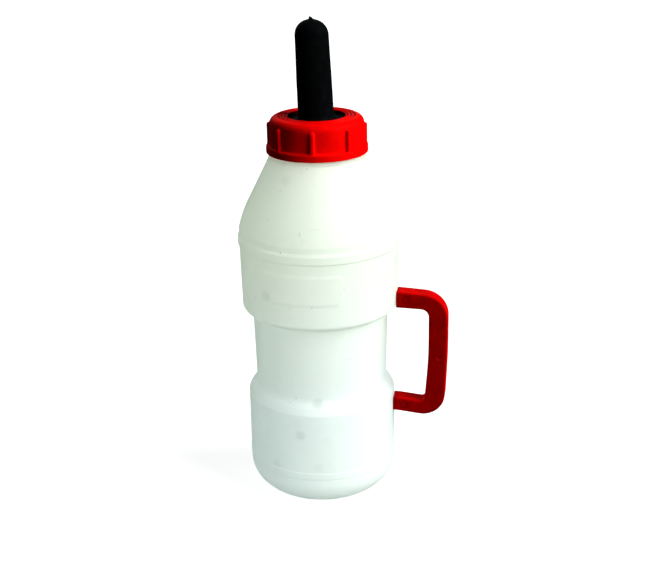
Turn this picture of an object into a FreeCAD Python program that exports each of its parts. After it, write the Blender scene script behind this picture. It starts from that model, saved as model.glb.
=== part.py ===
import FreeCAD, Part
import math
import os

# Calf feeding bottle, nominal two litres: a blow-moulded bottle with a pinned side handle, a ribbed
# screw collar, a black rubber teat and the ball check valve at the foot of the teat.
# Millimetres. The origin is the centre of the base, +Z is up, and +X points at the handle.

# --- Bottle -------------------------------------------------------------------------------------
WALL = 1.7                  # blown wall
FLOOR = 3.4                 # base, measured at the standing ring
BASE_FLAT_R = 24.5          # where the flat base meets the big rounded corner
CORNER_TOP = 24.2           # height of that corner
LOWER_R = 55.85             # lower bulge at the corner
LOWER_TOP_R = 55.7
LOWER_TOP = 81.0
LEDGE_R = 53.4              # the ledge over the lower bulge is steep first, then flatter
LEDGE = 85.4
WAIST_LOW_R = 49.2
WAIST_LOW = 90.0
WAIST_TOP_R = 50.45
WAIST_TOP = 146.0
UPPER_LOW_R = 57.72
UPPER_LOW = 150.3
UPPER_TOP_R = 58.7
UPPER_TOP = 205.1
SHOULDER_R = 58.35          # where the wall turns into the shoulder
SHOULDER = 210.5
SHOULDER_BEND_R = 55.92     # the shoulder leans in more from here up
SHOULDER_BEND = 220.3
SHOULDER_ARC = 88.0         # radius of that gentle bend
CONE_TOP_R = 33.9
CONE_TOP = 263.6
NECK_R = 29.4
NECK_FOOT = 265.4
NECK_WALL = 2.0
RIM = 285.6                 # top of the neck, where the teat's flange seals

BAND_PROUD = 0.95           # raised band under the shoulder
BAND_LOW = 198.6
BAND_TOP = 205.1
FOOT_BAND_PROUD = 0.45      # raised band above the base corner
FOOT_BAND_LOW = 28.6
FOOT_BAND_TOP = 34.2
NECK_RING_R = 34.85         # thin ring right under the collar
NECK_RING_LOW = 262.3
NECK_RING_TOP = 264.2

PAD_R = 9.0                 # flat pad in the middle of the base
RECESS_R = 19.5             # shallow ring recess around the pad
RECESS_DEPTH = 1.5

PANEL_START = -134.5        # raised label panel, degrees round the body
PANEL_SWEEP = 70.2
PANEL_LOW = 168.0
PANEL_TOP = 189.5
PANEL_PROUD = 0.5
PANEL_SINK = 0.6            # how deep its back is buried in the wall
PANEL_CORNER = 3.5

# --- Screw thread -------------------------------------------------------------------------------
LEAD = 5.0                  # one start, right hand
NECK_THREAD_R = 31.2        # crest on the neck
NECK_THREAD_START = 271.0
NECK_THREAD_TURNS = 1.5
COLLAR_THREAD_R = 30.0      # crest in the collar
COLLAR_THREAD_TURNS = 1.25
THREAD_ROOT_HALF = 1.15
THREAD_CREST_HALF = 0.65
THREAD_SINK = 0.4           # how far a thread's root is buried in its wall

# --- Collar -------------------------------------------------------------------------------------
COLLAR_LOW = 265.4
COLLAR_TOP = 291.1
COLLAR_R = 33.85
COLLAR_BORE_R = 31.6
COLLAR_ROOF = 2.4           # thickness of the ring that holds the teat down
COLLAR_HOLE_R = 20.6
COLLAR_SHOULDER = 5.5       # rounding of its top edge
LIP_R = 36.5
LIP_TOP = 270.5
RIB_COUNT = 8
RIB_FIRST = -86.0           # degrees round the collar
RIB_WIDTH = 4.2
RIB_R = 36.0
RIB_TOP = 285.2
GROOVE_RADII = (22.3, 24.7, 27.1)
GROOVE_WIDTH = 0.9
GROOVE_DEPTH = 0.5

# --- Teat ---------------------------------------------------------------------------------------
FLANGE_R = 30.4
FLANGE_TOP = COLLAR_TOP - COLLAR_ROOF - 0.1
STEM_FOOT_R = 12.85
STEM_TOP_R = 11.9
STEM_STRAIGHT_TOP = 346.2
STEM_TIP = 357.7
STEM_FILLET = 3.0
BORE_FOOT_R = 9.8
BORE_TOP_R = 8.9
TEAT_TIP_WALL = 3.2
NIB_R = 1.6
NIB_TIP_R = 1.1
NIB_HEIGHT = 2.0
MOUTH_R = 0.8
TEAT_LEAN = 1.9             # the soft stem leans a little, degrees
TEAT_LEAN_TOWARDS = 190.0   # degrees round the bottle
TEAT_LEAN_PIVOT = 280.0

# --- Check valve --------------------------------------------------------------------------------
DISC_R = 26.8
DISC_LOW = 283.2
HUB_R = 9.85
HUB_TOP = 300.0
HUB_BORE_R = 6.5
SEAT_HOLE_R = 3.0
SEAT = 287.0                # the edge that the ball closes
BALL_R = 4.2
BALL_LIFT = 2.0
BALL_GAP = 0.1
CAGE_GAP = 0.2
CAGE_HEIGHT = 3.0
CAGE_FIT = 0.05
CAGE_RING = 1.2
CAGE_BAR = 1.4
VENT_R = 0.8                # air inlet through the flange and the disc
VENT_AT = 16.5

# --- Handle -------------------------------------------------------------------------------------
HANDLE_THICK = 13.5
HANDLE_EDGE = 1.2
HANDLE_WALL_GAP = 0.15
ROOT_R = 50.0               # the arms are drawn to here, then trimmed to the bottle wall
# Corners of the outline, going round it: radius from the bottle's axis, height, rounding.
HANDLE_CORNERS = (
    (ROOT_R, 162.4, 0.0),
    (95.7, 159.2, 19.0),
    (95.9, 112.0, 400.0),
    (94.0, 61.6, 17.0),
    (ROOT_R, 66.8, 0.0),
    (ROOT_R, 77.2, 0.0),
    (79.2, 74.0, 3.0),
    (81.9, 111.0, 300.0),
    (81.7, 148.7, 6.0),
    (ROOT_R, 149.8, 0.0),
)
LUG_REACH = 70.0            # the bottle's lugs fill sockets in the two arms
LUG_HALF_WIDTH = 3.7
LUG_HALF_HEIGHT = 2.9
SOCKET_GAP = 0.15
UPPER_ARM = (65.3, 155.7)   # pin places: radius from the bottle's axis, height
LOWER_ARM = (63.6, 71.1)
PIN_R = 2.0
PIN_HEAD_R = 3.0
PIN_HEAD = 1.5
PIN_GAP = 0.05
HEAD_GAP = 0.15
PIN_RECESS = 0.25

AXIS = FreeCAD.Vector(0, 0, 1)
ORIGIN = FreeCAD.Vector(0, 0, 0)


def point(radius, height, across=0.0):
    return FreeCAD.Vector(radius, across, height)


def line(start, end):
    return Part.LineSegment(start, end).toShape()


def rounded_path(corners, closed=False):
    """Straight edges through the corners (radius, height, rounding), with tangent arcs at them."""
    count = len(corners)
    entries, exits, edges = [], [], []
    for index, (radius, height, rounding) in enumerate(corners):
        here = point(radius, height)
        if rounding == 0.0 or (not closed and index in (0, count - 1)):
            entries.append(here)
            exits.append(here)
            edges.append(None)
            continue
        before = corners[index - 1]
        after = corners[(index + 1) % count]
        back = (point(before[0], before[1]) - here).normalize()
        on = (point(after[0], after[1]) - here).normalize()
        half = back.getAngle(on) / 2
        entry = here + back * (rounding / math.tan(half))
        leave = here + on * (rounding / math.tan(half))
        middle_way = (back + on).normalize()
        middle = here + middle_way * (rounding / math.sin(half) - rounding)
        entries.append(entry)
        exits.append(leave)
        edges.append(Part.Arc(entry, middle, leave).toShape())
    path = []
    for index in range(count):
        if edges[index]:
            path.append(edges[index])
        if index < count - 1 or closed:
            path.append(line(exits[index], entries[(index + 1) % count]))
    return path


def inset(corners, distance):
    """The same corners, moved in by a distance towards the axis, with sharp bends kept true."""
    moved = []
    last = len(corners) - 1
    for index, (radius, height, rounding) in enumerate(corners):
        here = point(radius, height)
        before = point(*corners[max(index - 1, 0)][:2])
        after = point(*corners[min(index + 1, last)][:2])
        first = (here - before) if index else (after - here)
        second = (after - here) if index < last else (here - before)
        normals = [FreeCAD.Vector(-way.z, 0, way.x).normalize() for way in (first, second)]
        bisector = (normals[0] + normals[1]).normalize()
        shift = bisector * (distance / bisector.dot(normals[0]))
        moved.append((radius + shift.x, height + shift.z, rounding))
    return moved


def quarter_ellipse(start, corner, end):
    """A rounded corner with unequal legs, as one cubic curve."""
    pull = 4 * (math.sqrt(2) - 1) / 3
    curve = Part.BezierCurve()
    curve.setPoles([start, start + (corner - start) * pull, end + (corner - end) * pull, end])
    return curve.toShape()


def turned(edges):
    """A solid of revolution about the Z axis from a closed run of edges in the XZ plane."""
    return Part.Face(Part.Wire(edges)).revolve(ORIGIN, AXIS, 360)


def turned_polygon(corners):
    """A solid of revolution from sharp corners given as (radius, height)."""
    return turned(rounded_path([(radius, height, 0.0) for radius, height in corners], closed=True))


def ring(inner_r, outer_r, low, top):
    return turned_polygon([(inner_r, low), (outer_r, low), (outer_r, top), (inner_r, top)])


def disc(radius, low, top):
    return Part.makeCylinder(radius, top - low, point(0, low))


def thread(root_r, crest_r, start, turns):
    """One helical ridge; its root is buried a little in the wall that carries it."""
    outward = 1.0 if crest_r > root_r else -1.0
    buried_r = root_r - outward * THREAD_SINK
    helix = Part.makeHelix(LEAD, LEAD * turns, root_r)
    helix.translate(point(0, start))
    section = Part.makePolygon([
        point(buried_r, start - THREAD_ROOT_HALF),
        point(crest_r, start - THREAD_CREST_HALF),
        point(crest_r, start + THREAD_CREST_HALF),
        point(buried_r, start + THREAD_ROOT_HALF),
        point(buried_r, start - THREAD_ROOT_HALF),
    ])
    return Part.Wire(helix.Edges).makePipeShell([section], True, True)


# --- Bottle -------------------------------------------------------------------------------------
def body_corners():
    """Outline of the wall from the base corner up to the neck: radius, height, rounding."""
    return [
        (LOWER_R, CORNER_TOP, 0.0),
        (LOWER_TOP_R, LOWER_TOP, 1.6),
        (LEDGE_R, LEDGE, 2.5),
        (WAIST_LOW_R, WAIST_LOW, 3.0),
        (WAIST_TOP_R, WAIST_TOP, 0.8),
        (UPPER_LOW_R, UPPER_LOW, 3.0),
        (UPPER_TOP_R, UPPER_TOP, 0.0),
        (SHOULDER_R, SHOULDER, 0.0),
        (SHOULDER_BEND_R, SHOULDER_BEND, SHOULDER_ARC),
        (CONE_TOP_R, CONE_TOP, 1.0),
        (NECK_R, NECK_FOOT, 0.8),
        (NECK_R, RIM, 0.0),
    ]


def bottle_solid(corners, base_flat_r, base_height):
    """The filled shape inside one outline of the wall."""
    first, last = corners[0], corners[-1]
    flat_end = point(base_flat_r, base_height)
    corner = point(first[0], base_height)
    edges = [line(point(0, base_height), flat_end)]
    edges.append(quarter_ellipse(flat_end, corner, point(first[0], first[1])))
    edges += rounded_path(corners)
    edges.append(line(point(last[0], last[1]), point(0, last[1])))
    edges.append(line(point(0, last[1]), point(0, base_height)))
    return turned(edges)


def chamber():
    """The hollow inside the bottle, straight through the neck."""
    corners = inset(body_corners(), WALL)
    neck_bore_r = NECK_R - NECK_WALL
    corners[-2] = (neck_bore_r, corners[-2][1], corners[-2][2])
    corners[-1] = (neck_bore_r, RIM + 1.0, 0.0)
    return bottle_solid(corners, BASE_FLAT_R, FLOOR)


def wall_radius(height):
    """Outer radius of the upper bulge at a height."""
    share = (height - UPPER_LOW) / (UPPER_TOP - UPPER_LOW)
    return UPPER_LOW_R + share * (UPPER_TOP_R - UPPER_LOW_R)


def label_panel():
    """The raised label panel, with rounded corners and its back inside the wall."""
    low_r, top_r = wall_radius(PANEL_LOW), wall_radius(PANEL_TOP)
    section = Part.Face(Part.Wire(Part.makePolygon([
        point(low_r - PANEL_SINK, PANEL_LOW),
        point(low_r + PANEL_PROUD, PANEL_LOW),
        point(top_r + PANEL_PROUD, PANEL_TOP),
        point(top_r - PANEL_SINK, PANEL_TOP),
        point(low_r - PANEL_SINK, PANEL_LOW),
    ])))
    section.rotate(ORIGIN, AXIS, PANEL_START)
    panel = section.revolve(ORIGIN, AXIS, PANEL_SWEEP)
    radial = [edge for edge in panel.Edges if abs(edge.tangentAt(edge.FirstParameter).z) < 0.01
              and edge.Curve.TypeId == "Part::GeomLine"]
    return panel.makeFillet(PANEL_CORNER, radial)


def lug(arm, start_r):
    """A lug on the wall that fills one arm's socket."""
    height = arm[1]
    corner = point(start_r, height - LUG_HALF_HEIGHT, -LUG_HALF_WIDTH)
    return Part.makeBox(LUG_REACH - start_r, 2 * LUG_HALF_WIDTH, 2 * LUG_HALF_HEIGHT, corner)


def pin_hole(arm, radius):
    start = point(arm[0], arm[1], -HANDLE_THICK)
    return Part.makeCylinder(radius, 2 * HANDLE_THICK, start, FreeCAD.Vector(0, 1, 0))


def make_bottle_body():
    shell = bottle_solid(body_corners(), BASE_FLAT_R, 0.0)
    bevel = 0.5
    band_r = UPPER_TOP_R + BAND_PROUD
    shell = shell.fuse(turned_polygon([
        (NECK_R, BAND_LOW - bevel), (wall_radius(BAND_LOW), BAND_LOW - bevel), (band_r, BAND_LOW + bevel),
        (band_r, BAND_TOP - bevel), (SHOULDER_R, BAND_TOP + bevel), (NECK_R, BAND_TOP + bevel)]))
    foot_r = LOWER_R + FOOT_BAND_PROUD
    shell = shell.fuse(turned_polygon([
        (NECK_R, FOOT_BAND_LOW), (LOWER_R, FOOT_BAND_LOW), (foot_r, FOOT_BAND_LOW + bevel),
        (foot_r, FOOT_BAND_TOP - bevel), (LOWER_R, FOOT_BAND_TOP), (NECK_R, FOOT_BAND_TOP)]))
    shell = shell.fuse(ring(NECK_R, NECK_RING_R, NECK_RING_LOW, NECK_RING_TOP))
    for arm, wall_r in ((UPPER_ARM, UPPER_LOW_R), (LOWER_ARM, LOWER_R)):
        shell = shell.fuse(lug(arm, wall_r - 1.0))
    shell = shell.fuse(thread(NECK_R, NECK_THREAD_R, NECK_THREAD_START, NECK_THREAD_TURNS))
    shell = shell.fuse(label_panel())
    shell = shell.cut(chamber())
    shell = shell.cut(ring(PAD_R, RECESS_R, -1.0, RECESS_DEPTH))
    for arm in (UPPER_ARM, LOWER_ARM):
        shell = shell.cut(pin_hole(arm, PIN_R + PIN_GAP))
    return shell.removeSplitter()


# --- Handle and its pins ------------------------------------------------------------------------
def make_handle():
    outline = Part.Face(Part.Wire(rounded_path(HANDLE_CORNERS, closed=True)))
    outline.translate(FreeCAD.Vector(0, -HANDLE_THICK / 2, 0))
    handle = outline.extrude(FreeCAD.Vector(0, HANDLE_THICK, 0))
    trims = ((UPPER_ARM, wall_radius(UPPER_ARM[1])), (LOWER_ARM, LOWER_R))
    sides = [edge for edge in handle.Edges
             if abs(abs(edge.CenterOfMass.y) - HANDLE_THICK / 2) < 0.001 and edge.BoundBox.XMax > ROOT_R + 1.0]
    handle = handle.makeFillet(HANDLE_EDGE, sides)
    for arm, wall_r in trims:
        trim_r = wall_r + HANDLE_WALL_GAP
        handle = handle.cut(disc(trim_r, arm[1] - 15.0, arm[1] + 15.0))
        socket = lug(arm, ROOT_R)
        grown = Part.makeBox(
            LUG_REACH - ROOT_R + SOCKET_GAP, 2 * (LUG_HALF_WIDTH + SOCKET_GAP),
            2 * (LUG_HALF_HEIGHT + SOCKET_GAP),
            FreeCAD.Vector(socket.BoundBox.XMin, socket.BoundBox.YMin - SOCKET_GAP,
                           socket.BoundBox.ZMin - SOCKET_GAP))
        handle = handle.cut(grown)
        handle = handle.cut(pin_hole(arm, PIN_R + PIN_GAP))
        for head in pin_heads(arm, PIN_HEAD_R + HEAD_GAP, HANDLE_THICK / 2 + 1.0):
            handle = handle.cut(head)
    return handle


def pin_heads(arm, radius, reach):
    """Two discs across one arm, from under the pin's heads out to a reach each side."""
    inner = HANDLE_THICK / 2 - PIN_RECESS - PIN_HEAD
    heads = []
    for side in (-1.0, 1.0):
        start = point(arm[0], arm[1], side * inner)
        heads.append(Part.makeCylinder(radius, reach - inner, start, FreeCAD.Vector(0, side, 0)))
    return heads


def make_pin(arm):
    reach = HANDLE_THICK / 2 - PIN_RECESS
    start = point(arm[0], arm[1], -reach)
    pin = Part.makeCylinder(PIN_R, 2 * reach, start, FreeCAD.Vector(0, 1, 0))
    for head in pin_heads(arm, PIN_HEAD_R, reach):
        pin = pin.fuse(head)
    return pin.removeSplitter()


# --- Collar -------------------------------------------------------------------------------------
def rib(angle):
    """One grip rib, rounded at its top end."""
    start_r = COLLAR_R - 1.0
    half = RIB_WIDTH / 2
    straight = Part.makeBox(RIB_R - start_r, RIB_WIDTH, RIB_TOP - half - LIP_TOP + 1.0,
                            point(start_r, LIP_TOP - 1.0, -half))
    end = Part.makeCylinder(half, RIB_R - start_r, point(start_r, RIB_TOP - half), FreeCAD.Vector(1, 0, 0))
    bar = straight.fuse(end).removeSplitter()
    outer = [edge for edge in bar.Edges if edge.BoundBox.XMin > RIB_R - 0.01 and edge.BoundBox.ZMax > LIP_TOP]
    bar = bar.makeFillet(0.8, outer)
    bar.rotate(ORIGIN, AXIS, angle)
    return bar


def make_screw_collar():
    roof_low = COLLAR_TOP - COLLAR_ROOF
    collar = turned(rounded_path([
        (COLLAR_BORE_R, COLLAR_LOW, 0.0),
        (LIP_R, COLLAR_LOW, 0.5),
        (LIP_R, LIP_TOP, 0.8),
        (COLLAR_R, LIP_TOP, 0.4),
        (COLLAR_R, COLLAR_TOP, COLLAR_SHOULDER),
        (COLLAR_HOLE_R, COLLAR_TOP, 0.7),
        (COLLAR_HOLE_R, roof_low, 0.0),
        (COLLAR_BORE_R, roof_low, 0.0)], closed=True))
    for index in range(RIB_COUNT):
        collar = collar.fuse(rib(RIB_FIRST + index * 360.0 / RIB_COUNT))
    start = NECK_THREAD_START - LEAD / 2
    collar = collar.fuse(thread(COLLAR_BORE_R, COLLAR_THREAD_R, start, COLLAR_THREAD_TURNS))
    for radius in GROOVE_RADII:
        collar = collar.cut(ring(radius - GROOVE_WIDTH / 2, radius + GROOVE_WIDTH / 2,
                                 COLLAR_TOP - GROOVE_DEPTH, COLLAR_TOP + 1.0))
    return collar.removeSplitter()


# --- Teat ---------------------------------------------------------------------------------------
def stem(foot_r, foot, top_r, straight_top, tip):
    """A tapered stem with a domed end, filled."""
    edges = [line(point(0, foot), point(foot_r, foot)),
             line(point(foot_r, foot), point(top_r, straight_top)),
             quarter_ellipse(point(top_r, straight_top), point(top_r, tip), point(0, tip)),
             line(point(0, tip), point(0, foot))]
    return turned(edges)


def leaned(shape):
    """Tips a shape the way the soft stem leans."""
    across = math.radians(TEAT_LEAN_TOWARDS + 90.0)
    shape.rotate(point(0, TEAT_LEAN_PIVOT), FreeCAD.Vector(math.cos(across), math.sin(across), 0), TEAT_LEAN)
    return shape


def vent(low, top):
    return Part.makeCylinder(VENT_R, top - low, point(0, low, VENT_AT))


def make_teat():
    stem_foot = RIM + 0.5
    outside = leaned(stem(STEM_FOOT_R, stem_foot, STEM_TOP_R, STEM_STRAIGHT_TOP, STEM_TIP))
    nib = Part.makeCone(NIB_R, NIB_TIP_R, NIB_HEIGHT + 0.5, point(0, STEM_TIP - 0.5))
    flange = disc(FLANGE_R, RIM, FLANGE_TOP)
    foot = turned(rounded_path([
        (0.0, RIM + 0.2, 0.0), (STEM_FOOT_R + STEM_FILLET + 1.5, RIM + 0.2, 0.0),
        (STEM_FOOT_R + STEM_FILLET + 1.5, FLANGE_TOP, 0.0), (STEM_FOOT_R + 0.4, FLANGE_TOP, STEM_FILLET),
        (STEM_FOOT_R - 0.2, FLANGE_TOP + STEM_FILLET + 1.5, 0.0), (0.0, FLANGE_TOP + STEM_FILLET + 1.5, 0.0)],
        closed=True))
    teat = flange.fuse([foot, outside, leaned(nib)])
    bore = leaned(stem(BORE_FOOT_R, HUB_TOP - 0.5, BORE_TOP_R, STEM_STRAIGHT_TOP, STEM_TIP - TEAT_TIP_WALL))
    mouth = leaned(Part.makeCylinder(MOUTH_R, TEAT_TIP_WALL + NIB_HEIGHT + 4.0,
                                     point(0, STEM_TIP - TEAT_TIP_WALL - 2.0)))
    socket = disc(BORE_FOOT_R, RIM - 1.0, HUB_TOP)
    teat = teat.cut([bore, mouth, socket, vent(RIM - 1.0, FLANGE_TOP + 1.0)])
    return teat.removeSplitter()


# --- Check valve --------------------------------------------------------------------------------
def make_valve_body():
    body = disc(DISC_R, DISC_LOW, RIM)
    body = body.fuse(disc(HUB_R, DISC_LOW, HUB_TOP))
    body = body.cut(disc(SEAT_HOLE_R, DISC_LOW - 1.0, HUB_TOP))
    body = body.cut(disc(HUB_BORE_R, SEAT, HUB_TOP + 1.0))
    body = body.cut(vent(DISC_LOW - 1.0, RIM + 1.0))
    return body.removeSplitter()


def ball_height():
    """Height of the closed ball's centre."""
    return SEAT + math.sqrt(BALL_R ** 2 - SEAT_HOLE_R ** 2) + BALL_GAP


def make_valve_ball():
    return Part.makeSphere(BALL_R, point(0, ball_height()))


def make_valve_cage():
    low = ball_height() + BALL_R + BALL_LIFT + CAGE_GAP
    top = low + CAGE_HEIGHT
    outer_r = HUB_BORE_R - CAGE_FIT
    cage = ring(outer_r - CAGE_RING, outer_r, low, top)
    length = 2 * outer_r - CAGE_RING
    for angle in (0.0, 90.0):
        bar = Part.makeBox(length, CAGE_BAR, CAGE_BAR, point(-length / 2, low, -CAGE_BAR / 2))
        bar.rotate(ORIGIN, AXIS, angle)
        cage = cage.fuse(bar)
    return cage.removeSplitter()


PARTS = {
    "bottle_body": make_bottle_body,
    "handle": make_handle,
    "handle_pin_upper": lambda: make_pin(UPPER_ARM),
    "handle_pin_lower": lambda: make_pin(LOWER_ARM),
    "screw_collar": make_screw_collar,
    "teat": make_teat,
    "valve_body": make_valve_body,
    "valve_cage": make_valve_cage,
    "valve_ball": make_valve_ball,
}

os.makedirs("parts", exist_ok=True)
for name, make in PARTS.items():
    shape = make()
    if shape.ShapeType == "Compound" and len(shape.Solids) == 1:
        shape = shape.Solids[0]
    shape.exportStep("parts/" + name + ".step")
    print(name, shape.ShapeType, "solids", len(shape.Solids), "valid", shape.isValid(),
          "volume %.2f cm3" % (shape.Volume / 1000.0))
print("brimful volume %.0f ml" % (chamber().common(disc(80.0, 0.0, RIM)).Volume / 1000.0))
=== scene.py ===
import math

import bmesh
import bpy
import numpy as np
from mathutils import Matrix, Vector


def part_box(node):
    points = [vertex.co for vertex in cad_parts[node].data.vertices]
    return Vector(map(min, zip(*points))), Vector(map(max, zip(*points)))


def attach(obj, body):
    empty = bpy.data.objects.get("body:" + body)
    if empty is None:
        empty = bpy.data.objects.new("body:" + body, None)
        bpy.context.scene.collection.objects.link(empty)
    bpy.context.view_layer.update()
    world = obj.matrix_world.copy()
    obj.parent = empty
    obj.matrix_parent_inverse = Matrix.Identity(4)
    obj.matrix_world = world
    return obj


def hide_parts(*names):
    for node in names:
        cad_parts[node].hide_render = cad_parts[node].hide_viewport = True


# The looks of a calf feeding bottle: a milky blow-moulded bottle, a red ribbed collar, a black rubber
# teat, a red moulded handle on two pins, and the ball valve inside the teat's foot.
# Outlines are in millimetres, as (radius, height, rounding) round the bottle's axis. Angles round the
# bottle are in degrees from +X, where the handle is.

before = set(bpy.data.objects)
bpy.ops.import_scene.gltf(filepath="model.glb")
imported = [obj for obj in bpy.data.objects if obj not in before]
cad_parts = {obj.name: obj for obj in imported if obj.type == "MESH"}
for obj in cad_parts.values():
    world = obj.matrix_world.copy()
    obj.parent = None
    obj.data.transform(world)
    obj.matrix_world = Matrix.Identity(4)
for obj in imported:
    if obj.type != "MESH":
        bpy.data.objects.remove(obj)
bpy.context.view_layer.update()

MM = 0.001


def node_span(node):
    """Lowest and highest corner of a CAD node, in millimetres."""
    low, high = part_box(node)
    return low / MM, high / MM


bottle_low, bottle_high = node_span("bottle_body")
collar_low, collar_high = node_span("screw_collar")
teat_low, teat_high = node_span("teat")
handle_low, handle_high = node_span("handle")

# --- Bottle sizes ---
WALL = 1.7
NECK_WALL = 2.0
FLOOR = 3.4
BASE_FLAT_R = 24.5
CORNER_TOP = 24.2
FOOT_BAND = (28.6, 34.2)
FOOT_BAND_PROUD = 0.3
BAND = (198.6, 205.1)
BAND_PROUD = 0.75
RIM = bottle_high.z
NECK_R = 29.4
PAD_R = 9.0
RECESS_R = 19.5
RECESS_DEPTH = 1.5
BULGE_LOW = (57.72, 150.3, 3.0)
BULGE_TOP = (58.7, 205.1, 0.0)
SHOULDER = (58.35, 210.5, 1.5)
SHOULDER_BEND = (55.92, 220.3, 84.0)
CONE_TOP = (33.9, 263.6, 1.0)
LOWER_HALF = [                   # the lower bulge, the ledge over it and the waist
    (55.85, CORNER_TOP, 0.0),
    (55.7, 81.0, 1.6),
    (53.4, 85.4, 2.5),
    (49.2, 90.0, 6.0),
    (50.45, 146.0, 0.8),
]
NECK = [(NECK_R, 265.4, 0.8), (NECK_R, RIM, 0.0)]
OUTLINE = [*LOWER_HALF, BULGE_LOW, BULGE_TOP, SHOULDER, SHOULDER_BEND, CONE_TOP, *NECK]
NECK_RING = (262.3, 264.2)
NECK_RING_R = 34.85
PANEL_ANGLES = (-134.5, -64.3)
PANEL_HEIGHTS = (168.0, 189.5)
PANEL_PROUD = 0.5
PANEL_CORNER = 3.5
PANEL_EDGE = 0.45                # half the width of its soft edge
PART_LINES = (0.0, 180.0)        # where the two mould halves met
PART_LINE_PROUD = 0.14
PART_LINE_HALF = 0.4
WALL_WAVES = (                   # the blown wall's unevenness: depth, waves round, climb, phase
    (0.07, 3, 31.0, 0.0),
    (0.05, 5, -19.0, 1.0),
)
MARKS = [                        # soft witness discs of the mould: angle, height, strength
    (-114.0, 252.5, 0.45),
    (-121.0, 171.5, 0.85),
    (-62.5, 112.5, 0.15),
    (-65.0, 101.5, 0.18),
    (-84.0, 89.0, 1.25),
    (-98.5, 74.5, 0.20),
    (-67.5, 72.5, 0.18),
    (-97.5, 65.0, 1.0),
    (-77.0, 61.5, 0.15),
    (-84.0, 39.5, 0.45),
    (-118.0, 37.0, 0.5),
]
MARK_R = 4.4
MARK_DEPTH = 0.10
SPECKS = [                       # dark specks in the wall: angle, height, radius
    (-117.5, 245.5, 0.25),
    (-121.5, 227.0, 0.15),
    (-107.5, 206.5, 0.40),
    (-63.5, 180.0, 0.25),
    (-39.0, 179.5, 0.20),
    (-133.5, 167.0, 0.25),
    (-86.0, 167.5, 0.30),
    (-102.0, 165.5, 0.20),
    (-123.5, 261.5, 0.20),
    (-92.0, 261.0, 0.25),
    (-97.5, 258.5, 0.15),
    (-103.0, 91.5, 0.30),
    (-107.5, 88.0, 0.25),
    (-56.0, 122.0, 0.20),
]
SCRATCHES = [                    # fine scratches: angle and height of each end, and how dark
    ((-94.0, 221.0), (-93.5, 218.5), 0.25),
    ((-92.0, 217.5), (-91.5, 213.5), 0.08),
    ((-85.5, 223.0), (-78.5, 223.5), 0.08),
    ((-102.0, 160.5), (-102.0, 156.0), 0.09),
]
SCRATCH_R = 0.2

# --- Screw thread ---
LEAD = 5.0
NECK_THREAD_START = 271.0
NECK_THREAD_TURNS = 1.5
NECK_THREAD_R = 31.2
COLLAR_THREAD_START = 268.5
COLLAR_THREAD_TURNS = 1.25
COLLAR_THREAD_R = 30.0
THREAD_ROOT_HALF = 1.15
THREAD_CREST_HALF = 0.65

# --- Collar sizes ---
COLLAR_LOW = collar_low.z
COLLAR_TOP = collar_high.z
COLLAR_R = 33.85
COLLAR_BORE_R = 31.6
COLLAR_HOLE_R = 20.6
COLLAR_ROOF = 2.4
COLLAR_SHOULDER = 5.5
LIP_R = collar_high.x
LIP_TOP = 270.5
RIB_COUNT = 8
RIB_FIRST = -86.0
RIB_HALF = 2.1
RIB_R = 36.0
RIB_TOP = 286.4
RIB_BLEND = 0.5
RIB_CROWN = 0.22                 # how far its edges lie below its middle
RIB_FLANKS = (-1.15, 0.25)       # where its side starts and ends, from its half width
GROOVE_RADII = (22.3, 24.7, 27.1)
GROOVE_WIDTH = 1.1
GROOVE_DEPTH = 0.9

# --- Teat sizes ---
FLANGE_R = 30.4
FLANGE_LOW = teat_low.z
FLANGE_THICK = 3.0
FLANGE_TOP = FLANGE_LOW + FLANGE_THICK
HUB_TOP = 300.0
SOCKET_R = 9.8
BORE_TOP_R = 8.9
STEM_FOOT_R = 12.85
STEM_TOP_R = 11.9
STEM_STRAIGHT_TOP = 346.2
STEM_TIP = 357.7
STEM_FILLET = 3.0
TIP_WALL = 3.2
NIB_R = 1.6
NIB_TIP_R = 1.1
NIB_HEIGHT = 2.0
NIB_SLANT = 0.5                  # the nib's cut end slopes down towards the handle
MOUTH_R = 0.8
LEAN = 1.9
LEAN_TOWARDS = 190.0
LEAN_PIVOT = 280.0
STEM_RIPPLE = 0.06

# --- Handle sizes ---
HANDLE_HALF = handle_high.y
HANDLE_EDGE = 1.2
HANDLE_ROOT = 50.0               # the arms are drawn from here and trimmed to the bottle's wall
HANDLE_OUTSIDE = [               # from the upper end round to the lower end
    (HANDLE_ROOT, 162.4, 0.0),
    (95.7, 159.2, 19.0),
    (95.9, 112.0, 400.0),
    (94.0, 61.6, 17.0),
    (HANDLE_ROOT, 66.8, 0.0),
]
HANDLE_INSIDE = [
    (HANDLE_ROOT, 149.8, 0.0),
    (81.7, 148.7, 6.0),
    (81.9, 111.0, 300.0),
    (79.2, 74.0, 3.0),
    (HANDLE_ROOT, 77.2, 0.0),
]
HANDLE_BEND_STEPS = 12           # spans along each bend, each arm and each half of the grip
HANDLE_ARM_STEPS = 16
HANDLE_GRIP_STEPS = 9
HANDLE_TRIM_R = (58.0, 56.0)     # the bottle's wall, with a hair's gap, at the upper and the lower arm
ARMS = ((65.3, 155.7), (63.6, 71.1))
LUG_REACH = 70.0
LUG_HALF = (3.7, 2.9)
LUG_GAP = 0.15
LUG_SINK = 1.2                   # how deep a lug's root is buried in the wall
PIN_R = 2.0
PIN_HEAD_R = 2.75
PIN_HEAD = 1.5
PIN_RECESS = 0.45
PIN_GAP = 0.05
HEAD_GAP = 0.45
GRIP_MARK = (89.8, 111.0)        # mould mark on the grip's near face: radius and height
GRIP_MARK_R = 1.9
GRIP_MARK_DEPTH = 0.2

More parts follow.
